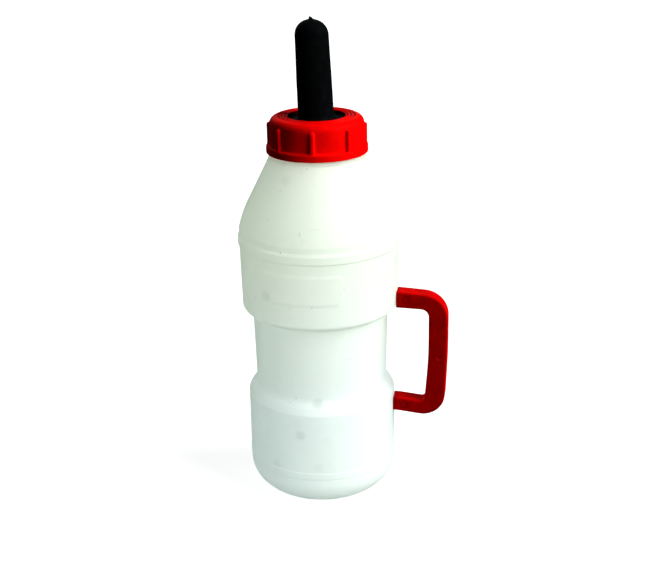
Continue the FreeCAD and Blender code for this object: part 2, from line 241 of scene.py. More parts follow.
# --- Camera and light ---
CAMERA_ANGLE = -80.0             # degrees round the bottle
CAMERA_REACH = 0.820             # metres from the axis
CAMERA_HEIGHT = 0.4688
CAMERA_LENS = 65.0
CAMERA_ROLL = -1.10
AIM_RIGHT = 0.0036               # the view's centre passes the axis by this much, at this height
AIM_HEIGHT = 0.1562
STAGE_REACH = 12.0               # metres from the object to the backdrop

# --- Shared colours ---
GRIME = (0.20, 0.20, 0.17)
# Painted shade: this deep red darkens the collar's ring grooves and the inside of its hole.
SHADE_RED = (0.07, 0.0004, 0.002)


# --- Outlines -----------------------------------------------------------------------------------
def unit(vector):
    return vector / np.linalg.norm(vector)


def rounded(corners, arc_steps=6):
    """Runs of points along straight edges and tangent arcs through (radius, height, rounding)."""
    points = []
    last = len(corners) - 1
    for index, (radius, height, rounding) in enumerate(corners):
        here = np.array((radius, height))
        if rounding == 0.0 or index in (0, last):
            points.append(here)
            continue
        back = unit(np.array(corners[index - 1][:2]) - here)
        on = unit(np.array(corners[index + 1][:2]) - here)
        half = math.acos(np.clip(back @ on, -1.0, 1.0)) / 2
        centre = here + unit(back + on) * (rounding / math.sin(half))
        start = here + back * (rounding / math.tan(half)) - centre
        end = here + on * (rounding / math.tan(half)) - centre
        turn = math.acos(np.clip(unit(start) @ unit(end), -1.0, 1.0))
        for step in range(arc_steps + 1):
            share = step / arc_steps
            way = math.sin((1 - share) * turn) * start + math.sin(share * turn) * end
            points.append(centre + way / math.sin(turn))
    return points


def filled_in(points, spacing):
    """The same run of points, with more put in where two are further apart than spacing says."""
    run = [points[0]]
    for start, end in zip(points, points[1:]):
        middle = (start + end) / 2
        pieces = max(1, math.ceil(np.linalg.norm(end - start) / spacing(middle) - 0.01))
        run += [start + (end - start) * step / pieces for step in range(1, pieces + 1)]
    return np.array(run)


def inset(corners, thickness):
    """The same corners, moved in towards the axis by a wall's thickness."""
    moved = []
    last = len(corners) - 1
    for index, (radius, height, rounding) in enumerate(corners):
        here = np.array((radius, height))
        before = np.array(corners[max(index - 1, 0)][:2])
        after = np.array(corners[min(index + 1, last)][:2])
        first = unit(here - before if index else after - here)
        second = unit(after - here if index < last else here - before)
        bisector = unit(np.array((-first[1] - second[1], first[0] + second[0])))
        shift = bisector * thickness / (bisector @ np.array((-first[1], first[0])))
        moved.append((radius + shift[0], height + shift[1], rounding))
    return moved


def quarter(flat_r, low, side_r, top, steps):
    """A rounded corner with unequal legs, from the flat base up to the side."""
    angles = np.linspace(0.0, math.pi / 2, steps + 1)[:-1]
    return [np.array((flat_r + (side_r - flat_r) * math.sin(a), top - (top - low) * math.cos(a)))
            for a in angles]


def smooth_step(low, high, value):
    """0 up to low and 1 from high on, with a smooth climb between them."""
    share = np.clip((value - low) / (high - low), 0.0, 1.0)
    return share * share * (3 - 2 * share)


def smooth_max(first, second, blend):
    """The larger of two heights, with a fillet of about blend where they meet."""
    share = np.clip(0.5 + 0.5 * (first - second) / blend, 0.0, 1.0)
    return second + (first - second) * share + blend * share * (1 - share)


def turn_between(angles, centre):
    """Signed angle in degrees from a centre, in -180 to 180."""
    return (angles - centre + 180.0) % 360.0 - 180.0


def columns(step, fine_spots):
    """Angles round the axis: an even step, and a finer one within reach of each spot."""
    angles = list(np.arange(-180.0, 180.0, step))
    for centre, reach, fine in fine_spots:
        angles = [a for a in angles if abs(turn_between(a, centre)) > reach + fine / 2]
        angles += list(centre + np.arange(-reach, reach + fine / 2, fine))
    angles = np.array(sorted((a + 180.0) % 360.0 - 180.0 for a in angles))
    return angles[np.concatenate(([True], np.diff(angles) > 1e-6))]


# --- Meshes -------------------------------------------------------------------------------------
def new_piece(name, vertices, faces):
    """A smooth-shaded object from vertices in millimetres."""
    mesh = bpy.data.meshes.new(name)
    mesh.from_pydata((np.asarray(vertices) * MM).tolist(), [], faces)
    mesh.validate()
    mesh.update()
    piece = bpy.data.objects.new(name, mesh)
    bpy.context.scene.collection.objects.link(piece)
    mesh.polygons.foreach_set("use_smooth", [True] * len(mesh.polygons))
    return piece


def turned_grid(radius, height, angles, closed):
    """Vertices and faces of a turned wall. radius and height are [row, column]; the rows run with the
    wall's outside on their right. A row at the axis closes to one point, and closed joins the last row
    to the first."""
    rows, count = radius.shape
    turn = np.radians(angles)
    vertices, index = [], []
    for row in range(rows):
        if not closed and row in (0, rows - 1) and abs(radius[row]).max() < 1e-6:
            index.append([len(vertices)] * count)
            vertices.append((0.0, 0.0, height[row].mean()))
            continue
        index.append(list(range(len(vertices), len(vertices) + count)))
        vertices += list(zip(radius[row] * np.cos(turn), radius[row] * np.sin(turn), height[row]))
    faces = []
    for row in range(rows if closed else rows - 1):
        low, high = index[row], index[(row + 1) % rows]
        for column in range(count):
            after = (column + 1) % count
            face = [low[column], low[after], high[after], high[column]]
            faces.append(tuple(dict.fromkeys(face)))
    return vertices, faces


def all_round(run, angles):
    """An outline's radius and its height, each repeated at every angle as [row, column]."""
    return np.repeat(run[:, 0:1], len(angles), 1), np.repeat(run[:, 1:2], len(angles), 1)


def row_normals(run):
    """Unit normals of an outline, to the right of its way: outward for one that climbs."""
    way = np.gradient(run, axis=0)
    way /= np.linalg.norm(way, axis=1)[:, None]
    return np.column_stack((way[:, 1], -way[:, 0]))


def thread_height(angles, height, start, turns, crest):
    """Height of a one-start helical ridge over its wall, at each angle and height."""
    ridge = np.zeros(np.broadcast(angles, height).shape)
    for lap in range(-1, math.ceil(turns) + 1):
        along = (angles % 360.0) / 360.0 + lap
        off = np.abs(height - start - along * LEAD)
        flank = 1.0 - smooth_step(THREAD_CREST_HALF, THREAD_ROOT_HALF, off)
        ends = smooth_step(0.0, 0.06, along) * (1.0 - smooth_step(turns - 0.06, turns, along))
        ridge = np.maximum(ridge, crest * flank * ends)
    return ridge


def rounded_box(low, high, rounding):
    """Vertices and faces of a box with rounded edges, in millimetres."""
    shape = bmesh.new()
    size = np.array(high) - np.array(low)
    middle = (np.array(high) + np.array(low)) / 2
    stretch = Matrix.Diagonal((*size, 1.0))
    bmesh.ops.create_cube(shape, size=1.0, matrix=Matrix.Translation(middle) @ stretch)
    bmesh.ops.bevel(
        shape, geom=shape.edges[:], offset=rounding, segments=3, profile=0.5, affect="EDGES")
    shape.verts.index_update()
    vertices = [tuple(v.co) for v in shape.verts]
    faces = [tuple(v.index for v in f.verts) for f in shape.faces]
    shape.free()
    return vertices, faces


def joined(*parts):
    """Vertices and faces of several closed parts as one."""
    vertices, faces = [], []
    for part_vertices, part_faces in parts:
        shift = len(vertices)
        vertices += list(part_vertices)
        faces += [tuple(corner + shift for corner in face) for face in part_faces]
    return vertices, faces


def barrel(centre, radius, low, high, sides=48, edge=0.0):
    """A closed cylinder across the handle, along Y, with an optional rounded edge."""
    shares = np.linspace(0.0, math.pi / 2, 5) if edge else np.array([math.pi / 2])
    outline = [(radius - edge + edge * math.sin(a), low + edge - edge * math.cos(a)) for a in shares]
    outline += [(r, low + high - at) for r, at in reversed(outline)]
    vertices = []
    for ring_r, at in outline:
        for side in range(sides):
            angle = 2 * math.pi * side / sides
            out, up = ring_r * math.cos(angle), ring_r * math.sin(angle)
            vertices.append((centre[0] + out, at, centre[1] + up))
    faces = [tuple(range(sides)), tuple(range(len(vertices) - 1, len(vertices) - sides - 1, -1))]
    for row in range(len(outline) - 1):
        for side in range(sides):
            after = (side + 1) % sides
            faces.append((row * sides + after, row * sides + side,
                          (row + 1) * sides + side, (row + 1) * sides + after))
    return vertices, faces


def cut_away(piece, *parts):
    """Cuts closed parts out of a piece."""
    cutter = new_piece("cutter", *joined(*parts))
    modifier = piece.modifiers.new("cut", "BOOLEAN")
    modifier.operation = "DIFFERENCE"
    modifier.solver = "EXACT"
    modifier.object = cutter
    bpy.context.view_layer.update()
    evaluated = piece.evaluated_get(bpy.context.evaluated_depsgraph_get())
    result = bpy.data.meshes.new_from_object(evaluated)
    piece.modifiers.remove(modifier)
    piece.data = result
    bpy.data.objects.remove(cutter)
    return piece


# --- Bottle -------------------------------------------------------------------------------------
def radius_between(first, second, height):
    """The wall's radius at a height on the straight run between two corners."""
    return np.interp(height, (first[1], second[1]), (first[0], second[0]))


def outside_corners():
    """The outline with its raised bands and its neck ring."""
    foot_r = LOWER_HALF[0][0]
    band_r = BULGE_TOP[0] + BAND_PROUD
    foot = [(foot_r, FOOT_BAND[0] - 0.1, 0.35), (foot_r + FOOT_BAND_PROUD, FOOT_BAND[0] + 0.6, 0.5),
            (foot_r + FOOT_BAND_PROUD, FOOT_BAND[1] - 0.6, 0.5), (foot_r, FOOT_BAND[1] + 0.1, 0.35)]
    bulge_r = radius_between(BULGE_LOW, BULGE_TOP, BAND[0])
    band = [(bulge_r, BAND[0] - 0.6, 0.5), (band_r, BAND[0] + 0.5, 0.7),
            (band_r, BAND[1] - 0.8, 0.9), (SHOULDER[0], BAND[1] + 1.4, 0.5)]
    cone_r = radius_between(SHOULDER_BEND, CONE_TOP, NECK_RING[0])
    ring = [(cone_r, NECK_RING[0], 0.1), (NECK_RING_R, NECK_RING[0], 0.2),
            (NECK_RING_R, NECK_RING[1], 0.3), (NECK_R + 2.6, NECK_RING[1], 0.3)]
    return [LOWER_HALF[0], *foot, *LOWER_HALF[1:], BULGE_LOW, *band, SHOULDER, SHOULDER_BEND, *ring,
            NECK[0], (NECK_R, RIM, 0.45), (NECK_R - NECK_WALL, RIM, 0.0)]


def bottle_spacing(middle):
    """How close the bottle's rows are: finest at edges, marks and the thread."""
    height = middle[1]
    fine = [(FOOT_BAND[0] - 1, FOOT_BAND[0] + 1), (FOOT_BAND[1] - 1, FOOT_BAND[1] + 1)]
    fine += [(edge - 1.3, edge + 1.3) for edge in PANEL_HEIGHTS]
    if any(low < height < high for low, high in fine):
        return 0.3
    if NECK_THREAD_START - 2 < height < NECK_THREAD_START + LEAD * NECK_THREAD_TURNS + 2:
        return 0.4
    if any(abs(height - mark[1]) < MARK_R + 1 for mark in MARKS):
        return 1.3
    return 3.0


def bottle_relief(angles, run):
    """How far the wall stands out along its normal: panel, witness marks, part lines and waves."""
    angle, height = angles[None, :], run[:, 1:2]
    arc = np.radians(1.0) * run[:, 0:1]
    # The waves and the part lines fade out round the base's corner and under the collar.
    wall = smooth_step(8.0, CORNER_TOP, height) * (1.0 - smooth_step(RIM - 32.0, RIM - 23.0, height))
    relief = 0.0
    for depth, waves, climb, phase in WALL_WAVES:
        relief = relief + depth * np.sin(np.radians(waves * angle) + height / climb + phase) * wall

    middle = sum(PANEL_ANGLES) / 2
    across = np.abs(turn_between(angle, middle)) * arc
    half_across = (PANEL_ANGLES[1] - PANEL_ANGLES[0]) / 2 * arc - PANEL_CORNER
    along = np.abs(height - sum(PANEL_HEIGHTS) / 2)
    half_along = (PANEL_HEIGHTS[1] - PANEL_HEIGHTS[0]) / 2 - PANEL_CORNER
    outside = np.hypot(np.maximum(across - half_across, 0.0), np.maximum(along - half_along, 0.0))
    edge = 1.0 - smooth_step(-PANEL_EDGE, PANEL_EDGE, outside - PANEL_CORNER)
    relief = relief + PANEL_PROUD * edge

    for mark_angle, mark_height, strength in MARKS:
        away = np.hypot(turn_between(angle, mark_angle) * arc, height - mark_height)
        sunk = 1.0 - smooth_step(MARK_R - 0.9, MARK_R + 0.3, away)
        relief = relief - MARK_DEPTH * strength * sunk
    pinched = wall + smooth_step(1.1, RECESS_DEPTH, height) * (run[:, 0:1] < RECESS_R)
    for line in PART_LINES:
        away = turn_between(angle, line) * arc
        relief = relief + PART_LINE_PROUD * np.exp(-(away / PART_LINE_HALF) ** 2) * pinched
    neck = height > NECK_THREAD_START - 2 * LEAD
    crest = NECK_THREAD_R - NECK_R
    ridge = thread_height(angle, height, NECK_THREAD_START, NECK_THREAD_TURNS, crest)
    return relief + ridge * neck


def make_lug(arm, trim_r):
    """Vertices and faces of the lug that fills one arm's socket, with the pin's hole."""
    reach, at = arm
    low = (trim_r - LUG_SINK, -LUG_HALF[0], at - LUG_HALF[1])
    lug = new_piece("lug", *rounded_box(low, (LUG_REACH, LUG_HALF[0], at + LUG_HALF[1]), 0.5))
    cut_away(lug, barrel(arm, PIN_R + PIN_GAP, -HANDLE_HALF, HANDLE_HALF))
    vertices = [tuple(vertex.co / MM) for vertex in lug.data.vertices]
    faces = [tuple(face.vertices) for face in lug.data.polygons]
    bpy.data.objects.remove(lug)
    return vertices, faces


def make_bottle():
    """The hollow bottle: its outside from the base's middle up to the rim, and its inside back down."""
    base = rounded([(0.0, 0.0, 0.0), (PAD_R, 0.0, 0.5), (PAD_R + 0.4, RECESS_DEPTH, 0.5),
                    (RECESS_R - 0.4, RECESS_DEPTH, 0.5), (RECESS_R, 0.0, 0.5),
                    (BASE_FLAT_R, 0.0, 0.0)], 3)
    base = list(filled_in(base, lambda middle: 3.0))
    corner = quarter(BASE_FLAT_R, 0.0, OUTLINE[0][0], CORNER_TOP, 18)
    outside = list(filled_in(rounded(outside_corners(), 5), bottle_spacing))
    run = np.array(base[:-1] + corner + outside)

    inner = inset(OUTLINE, WALL)
    inner[-2] = (NECK_R - NECK_WALL, inner[-2][1], inner[-2][2])
    inner[-1] = (NECK_R - NECK_WALL, RIM, 0.0)
    hollow = quarter(BASE_FLAT_R, FLOOR, inner[0][0], inner[0][1], 12)
    hollow += list(filled_in(rounded(inner, 3), lambda middle: 8.0))[:-1]
    hollow = np.array([np.array((0.0, FLOOR)), np.array((BASE_FLAT_R / 2, FLOOR)), *hollow])[::-1]

    spots = [(edge, 1.6, 0.4) for edge in PANEL_ANGLES]
    spots += [(line, 1.2, 0.3) for line in PART_LINES]
    angles = columns(1.8, spots)
    normals = row_normals(run)
    relief = bottle_relief(angles, run)
    relief[0] = 0.0
    hollow_radius, hollow_height = all_round(hollow, angles)
    radius = np.vstack((run[:, 0:1] + normals[:, 0:1] * relief, hollow_radius))
    height = np.vstack((run[:, 1:2] + normals[:, 1:2] * relief, hollow_height))
    parts = [turned_grid(radius, height, angles, closed=False)]
    parts += [make_lug(arm, trim_r) for arm, trim_r in zip(ARMS, HANDLE_TRIM_R)]
    return new_piece("bottle_shell", *joined(*parts))


# --- Collar -------------------------------------------------------------------------------------
def collar_corners():
    """The collar's outline without its ribs, from the bore's foot round to the roof's underside."""
    roof_low = COLLAR_TOP - COLLAR_ROOF
    corners = [
        (COLLAR_BORE_R, COLLAR_LOW, 0.4),
        (LIP_R, COLLAR_LOW, 0.5),
        (LIP_R, LIP_TOP - 0.1, 0.9),
        (COLLAR_R, LIP_TOP + 0.3, 0.6),
        (COLLAR_R, COLLAR_TOP, COLLAR_SHOULDER),
    ]
    for radius in reversed(GROOVE_RADII):
        outer, inner = radius + GROOVE_WIDTH / 2, radius - GROOVE_WIDTH / 2
        corners += [(outer + 0.15, COLLAR_TOP, 0.25), (outer - 0.15, COLLAR_TOP - GROOVE_DEPTH, 0.15),
                    (inner + 0.15, COLLAR_TOP - GROOVE_DEPTH, 0.15), (inner - 0.15, COLLAR_TOP, 0.25)]
    return corners + [
        (COLLAR_HOLE_R, COLLAR_TOP, 0.7),
        (COLLAR_HOLE_R, roof_low, 0.3),
        (COLLAR_BORE_R, roof_low, 0.4),
    ]


def collar_spacing(middle):
    radius, height = middle
    if radius < COLLAR_BORE_R + 0.5 and height < COLLAR_TOP - COLLAR_ROOF - 1:
        return 0.45
    if height < RIB_TOP + 1.5 and radius > COLLAR_R - 1:
        return 0.6
    return 1.2


def rib_height(angles, height):
    """How far the nearest rib stands out from the collar's side."""
    pitch = 360.0 / RIB_COUNT
    off = (angles - RIB_FIRST + pitch / 2) % pitch - pitch / 2
    across = np.radians(off) * COLLAR_R
    above = np.maximum(height - (RIB_TOP - RIB_HALF), 0.0)
    away = np.hypot(across, above)
    crown = RIB_CROWN * (across / RIB_HALF) ** 2
    start, end = (RIB_HALF + flank for flank in RIB_FLANKS)
    return (RIB_R - COLLAR_R - crown) * (1.0 - smooth_step(start, end, away))


def make_collar():
    """The ribbed collar, its outline closed in the chamfer at the foot of the bore."""
    corners = collar_corners()
    run = filled_in(rounded([*corners, corners[0]], 5), collar_spacing)
    foot_gap = 0.4
    start = np.array((COLLAR_BORE_R + foot_gap, COLLAR_LOW))
    end = np.array((COLLAR_BORE_R, COLLAR_LOW + foot_gap))
    run = np.vstack((start, run[1:-1], end))
    pitch = 360.0 / RIB_COUNT
    spots = [(RIB_FIRST + index * pitch, 4.5, 0.45) for index in range(RIB_COUNT)]
    angles = columns(2.5, spots)
    angle, height = angles[None, :], run[:, 1:2]
    outer_side = (run[:, 0:1] > COLLAR_BORE_R + 0.5) & (height > COLLAR_LOW + 2.5)
    bore = (run[:, 0:1] < COLLAR_BORE_R + 0.1) & (height < COLLAR_TOP - COLLAR_ROOF - 0.5)
    plain, heights = all_round(run, angles)
    ribbed = smooth_max(COLLAR_R + rib_height(angle, height), plain, RIB_BLEND)
    rise = np.clip(ribbed - smooth_max(COLLAR_R, plain, RIB_BLEND), 0.0, None)
    radius = plain + rise * outer_side
    crest = COLLAR_BORE_R - COLLAR_THREAD_R
    ridge = thread_height(angle, height, COLLAR_THREAD_START, COLLAR_THREAD_TURNS, crest)
    radius = radius - ridge * bore
    return new_piece("collar_ribbed", *turned_grid(radius, heights, angles, closed=True))


# --- Teat ---------------------------------------------------------------------------------------
def teat_outline():
    """From the mouth down the outside, round the flange, and up the bore back to the mouth."""
    dome = []
    dome_height = STEM_TIP - STEM_STRAIGHT_TOP
    squareness = 2.15
    for angle in np.linspace(math.pi / 2, 0.0, 19):
        out = math.cos(angle) ** (2 / squareness)
        up = math.sin(angle) ** (2 / squareness)
        point = np.array((STEM_TOP_R * out, STEM_STRAIGHT_TOP + dome_height * up))
        if point[0] > NIB_R + 0.9:
            dome.append(point)
    nib = rounded([(MOUTH_R, STEM_TIP + NIB_HEIGHT, 0.0), (NIB_TIP_R, STEM_TIP + NIB_HEIGHT, 0.2),
                   (NIB_R, STEM_TIP + 0.25, 0.6), (dome[0][0], dome[0][1], 0.0)], 4)[:-1]
    foot = rounded([(STEM_TOP_R, STEM_STRAIGHT_TOP, 0.0), (STEM_FOOT_R, FLANGE_TOP, STEM_FILLET),
                    (FLANGE_R, FLANGE_TOP, 0.5), (FLANGE_R, FLANGE_LOW, 0.5),
                    (SOCKET_R, FLANGE_LOW, 0.3), (SOCKET_R, HUB_TOP, 0.3),
                    (BORE_TOP_R, STEM_STRAIGHT_TOP, 0.0)], 6)[1:]
    inner_tip = STEM_TIP - TIP_WALL
    cave_height = inner_tip - STEM_STRAIGHT_TOP
    cave = [np.array((BORE_TOP_R * math.cos(a), STEM_STRAIGHT_TOP + cave_height * math.sin(a)))
            for a in np.linspace(0.0, 1.4, 8)[1:]]
    mouth = [np.array((MOUTH_R, inner_tip))]
    return filled_in([*nib, *dome, *foot, *cave, *mouth], lambda middle: 1.6)


def make_teat():
    """The hollow teat, with its slanted nib, its soft lean and a slight ripple in its stem."""
    run = teat_outline()[::-1]
    angles = columns(3.75, [])
    vertices, faces = turned_grid(*all_round(run, angles), angles, closed=True)
    vertices = np.array(vertices)
    nib = np.clip(vertices[:, 2] - STEM_TIP - 0.25, 0.0, 1.0)
    vertices[:, 2] -= NIB_SLANT * nib * np.clip(vertices[:, 0] + NIB_TIP_R, 0.0, None)
    height = vertices[:, 2]
    lean = math.tan(math.radians(LEAN)) * (height - LEAN_PIVOT)
    lean = lean * smooth_step(FLANGE_TOP, FLANGE_TOP + 6.0, height)
    vertices[:, 0] += lean * math.cos(math.radians(LEAN_TOWARDS))
    vertices[:, 1] += lean * math.sin(math.radians(LEAN_TOWARDS))
    ripple = STEM_RIPPLE * np.sin(height / 7.0 + 2.0 * np.arctan2(vertices[:, 1], vertices[:, 0]))
    ripple = ripple * smooth_step(FLANGE_TOP + 4.0, FLANGE_TOP + 12.0, height)
    ripple = ripple * (1.0 - smooth_step(STEM_STRAIGHT_TOP, STEM_TIP, height))
    vertices[:, 0:2] *= 1.0 + (ripple / STEM_FOOT_R)[:, None]
    return new_piece("teat_rubber", vertices, faces)


# --- Handle and pins ----------------------------------------------------------------------------
def matched(corners):
    """One outline of the handle as points that pair up with the other outline's."""
    run = rounded(corners, HANDLE_BEND_STEPS)
    bend = [1] * HANDLE_BEND_STEPS
    counts = [HANDLE_ARM_STEPS, *bend, HANDLE_GRIP_STEPS, *bend, HANDLE_GRIP_STEPS, *bend,
              HANDLE_ARM_STEPS]
    points = [run[0]]
    for (start, end), count in zip(zip(run, run[1:]), counts):
        points += [start + (end - start) * step / count for step in range(1, count + 1)]
    return points


def handle_ring(outer, inner):
    """One cross-section: a flat bar with rounded edges, as points (radius, across, height)."""
    out = unit(outer - inner)
    half = np.linalg.norm(outer - inner) / 2
    middle = (outer + inner) / 2
    edge = HANDLE_EDGE
    ring = []
    for side_out, side_y in ((1, 1), (-1, 1), (-1, -1), (1, -1)):
        swing = np.linspace(0.0, math.pi / 2, 5)
        if side_out * side_y < 0:
            swing = swing[::-1]
        for angle in swing:
            along = side_out * (half - edge + edge * math.cos(angle))
            across = side_y * (HANDLE_HALF - edge + edge * math.sin(angle))
            ring.append((along, across))
        flat = ring[-1]
        if side_out * side_y > 0:
            goal, steps = (-side_out * (half - edge), side_y * HANDLE_HALF), 9
        else:
            goal, steps = (side_out * half, -side_y * (HANDLE_HALF - edge)), 7
        for step in range(1, steps):
            share = step / steps
            along = flat[0] + (goal[0] - flat[0]) * share
            ring.append((along, flat[1] + (goal[1] - flat[1]) * share))
    return [(middle[0] + out[0] * along, across, middle[1] + out[1] * along)
            for along, across in ring]


def trimmed(ring, trim_r):
    """The end section, brought to the bottle's round wall."""
    return [(math.sqrt(trim_r ** 2 - across ** 2), across, height) for _, across, height in ring]


def make_handle():
    """The C-shaped bar, cut for its grip mark, its two sockets, and the pins with their heads."""
    outside, inside = matched(HANDLE_OUTSIDE), matched(HANDLE_INSIDE)
    keep = [index for index, point in enumerate(outside) if point[0] > max(HANDLE_TRIM_R) + 1.5]
    rings = [handle_ring(outside[index], inside[index]) for index in keep]
    first = trimmed(handle_ring(outside[keep[0] - 1], inside[keep[0] - 1]), HANDLE_TRIM_R[0])
    last = trimmed(handle_ring(outside[keep[-1] + 1], inside[keep[-1] + 1]), HANDLE_TRIM_R[1])
    rings = [first, *rings, last]
    count = len(rings[0])
    vertices = [point for ring in rings for point in ring]
    faces = [tuple(range(count)), tuple(range(len(vertices) - 1, len(vertices) - count - 1, -1))]
    for row in range(len(rings) - 1):
        for column in range(count):
            after = (column + 1) % count
            faces.append((row * count + column, (row + 1) * count + column,
                          (row + 1) * count + after, row * count + after))
    handle = new_piece("handle_grip", vertices, faces)
    mark_ends = (-HANDLE_HALF - 1.0, -HANDLE_HALF + GRIP_MARK_DEPTH)
    cut_away(handle, barrel(GRIP_MARK, GRIP_MARK_R, *mark_ends))
    pockets, holes = [], []
    head_depth = PIN_HEAD + PIN_RECESS
    for reach, at in ARMS:
        low = (HANDLE_ROOT, -LUG_HALF[0] - LUG_GAP, at - LUG_HALF[1] - LUG_GAP)
        high = (LUG_REACH + LUG_GAP, LUG_HALF[0] + LUG_GAP, at + LUG_HALF[1] + LUG_GAP)
        pockets.append(rounded_box(low, high, 0.5))
        holes.append(barrel((reach, at), PIN_R + PIN_GAP, -HANDLE_HALF - 1.0, HANDLE_HALF + 1.0))
        for side in (-1, 1):
            ends = sorted((side * (HANDLE_HALF - head_depth), side * (HANDLE_HALF + 1.0)))
            pockets.append(barrel((reach, at), PIN_HEAD_R + HEAD_GAP, *ends))
    return cut_away(cut_away(handle, *pockets), *holes)


def make_pin(name, arm):
    """A pin with a head at each end, and a ring groove in each head."""
    reach = HANDLE_HALF - PIN_RECESS
    half = [(0.0, reach - 0.1, 0.0), (PIN_HEAD_R * 0.55, reach, 0.4),
            (PIN_HEAD_R * 0.62, reach - 0.3, 0.15), (PIN_HEAD_R * 0.7, reach, 0.3),
            (PIN_HEAD_R, reach, 0.35),
            (PIN_HEAD_R, reach - PIN_HEAD, 0.2), (PIN_R, reach - PIN_HEAD, 0.2), (PIN_R, 0.0, 0.0)]
    upper = rounded(half, 4)
    run = np.array(upper + [np.array((point[0], -point[1])) for point in upper[-2::-1]])[::-1]
    angles = columns(10.0, [])
    vertices, faces = turned_grid(*all_round(run, angles), angles, closed=False)
    laid = [(arm[0] + x, z, arm[1] - y) for x, y, z in vertices]
    return new_piece(name, laid, faces)


# --- Materials ----------------------------------------------------------------------------------
def add(tree, kind, inputs, **settings):
    """A node with its settings; inputs gives each socket a value or another node's socket."""
    node = tree.nodes.new(kind)
    for name, value in settings.items():
        setattr(node, name, value)
    for name, value in inputs.items():
        if isinstance(value, bpy.types.NodeSocket):
            tree.links.new(value, node.inputs[name])
        else:
            node.inputs[name].default_value = value
    return node


def plain_material(name, **sockets):
    """A Principled material with the values that are the same all over it."""
    material = bpy.data.materials.new(name)
    material.use_nodes = True
    tree = material.node_tree
    surface = tree.nodes["Principled BSDF"]
    for socket, value in sockets.items():
        surface.inputs[socket.replace("_", " ")].default_value = value
    place = tree.nodes.new("ShaderNodeTexCoord").outputs["Object"]
    return material, tree, surface, place


def noise(tree, place, scale, detail=3.0, roughness=0.55):
    made = add(tree, "ShaderNodeTexNoise", {"Vector": place, "Scale": scale, "Detail": detail,
                                            "Roughness": roughness})
    return made.outputs["Fac"]


def ramp(tree, value, low, high):
    """A value brought from low..high to 0..1, smoothly."""
    made = add(tree, "ShaderNodeMapRange", {"Value": value, "From Min": low, "From Max": high},
               interpolation_type="SMOOTHSTEP")
    return made.outputs["Result"]


def fade(tree, value, start, end):
    """1 up to a start, falling smoothly to 0 at an end."""
    return times(tree, 1.0, ramp(tree, value, start, end), "SUBTRACT")


def between(tree, value, low, high):
    """A value of 0..1 brought to low..high."""
    made = add(tree, "ShaderNodeMapRange", {"Value": value, "To Min": low, "To Max": high})
    return made.outputs["Result"]


def blend(tree, share, first, second, mode="MIX"):
    """Two colours mixed by a share."""
    made = add(tree, "ShaderNodeMix", {}, data_type="RGBA", blend_type=mode)
    factor, colour_1, colour_2 = made.inputs["Factor"], made.inputs[6], made.inputs[7]
    for socket, value in ((factor, share), (colour_1, first), (colour_2, second)):
        if isinstance(value, bpy.types.NodeSocket):
            tree.links.new(value, socket)
        else:
            socket.default_value = value if isinstance(value, float) else (*value, 1.0)
    return made.outputs[2]


def times(tree, first, second, operation="MULTIPLY"):
    """Two values multiplied, or put through another operation."""
    return add(tree, "ShaderNodeMath", {0: first, 1: second}, operation=operation).outputs[0]


def bump(tree, surface, heights):
    """Fine relief from several noises, each with its depth in metres."""
    normal = None
    for height, depth in heights:
        inputs = {"Height": height, "Distance": depth, "Strength": 1.0}
        if normal is not None:
            inputs["Normal"] = normal
        normal = add(tree, "ShaderNodeBump", inputs).outputs["Normal"]
    tree.links.new(normal, surface.inputs["Normal"])


def specks(tree, place, scale, reach, rarity):
    """Sparse dots: 1 in a dot of that reach in metres, and 0 elsewhere."""
    cells = add(tree, "ShaderNodeTexVoronoi", {"Vector": place, "Scale": scale})
    dot = fade(tree, cells.outputs["Distance"], reach * scale * 0.6, reach * scale)
    chosen = add(tree, "ShaderNodeSeparateColor", {"Color": cells.outputs["Color"]}).outputs["Red"]
    return times(tree, dot, times(tree, chosen, rarity, "LESS_THAN"))


def lit_through(tree, surface, colour, share):
    """Lets light that falls on one side of a thin milky wall glow through to the other."""
    through = add(tree, "ShaderNodeBsdfTranslucent", {"Color": colour})
    both = add(tree, "ShaderNodeMixShader", {0: share, 1: surface.outputs[0], 2: through.outputs[0]})
    tree.links.new(both.outputs[0], tree.nodes["Material Output"].inputs["Surface"])


def on_the_wall(angle, height):
    """The point in metres on the bottle's wall at an angle and a height in millimetres."""
    turn = math.radians(angle)
    wall = np.array(rounded(OUTLINE))
    radius = np.interp(height, wall[:, 1], wall[:, 0])
    return Vector((radius * math.cos(turn), radius * math.sin(turn), height)) * MM


def coordinate(tree, place, axis):
    return add(tree, "ShaderNodeSeparateXYZ", {"Vector": place}).outputs[axis]


def vectors(tree, operation, first, second):
    """A node that puts two vectors through an operation."""
    return add(tree, "ShaderNodeVectorMath", {0: first, 1: second}, operation=operation)


def distance(tree, place, point):
    return vectors(tree, "DISTANCE", place, point).outputs["Value"]


def near(tree, off, reach):
    """1 within a reach in metres, fading to 0 a quarter of a millimetre further on."""
    return fade(tree, off, reach, reach + 0.25 * MM)


def off_line(tree, place, start, end):
    """Distance from the straight line between two points."""
    way = end - start
    out = vectors(tree, "SUBTRACT", place, start).outputs["Vector"]
    along = vectors(tree, "DOT_PRODUCT", out, way / way.length_squared).outputs["Value"]
    share = add(tree, "ShaderNodeClamp", {"Value": along}).outputs["Result"]
    foot = add(tree, "ShaderNodeVectorMath", {0: way, "Scale": share}, operation="SCALE")
    return distance(tree, out, foot.outputs["Vector"])


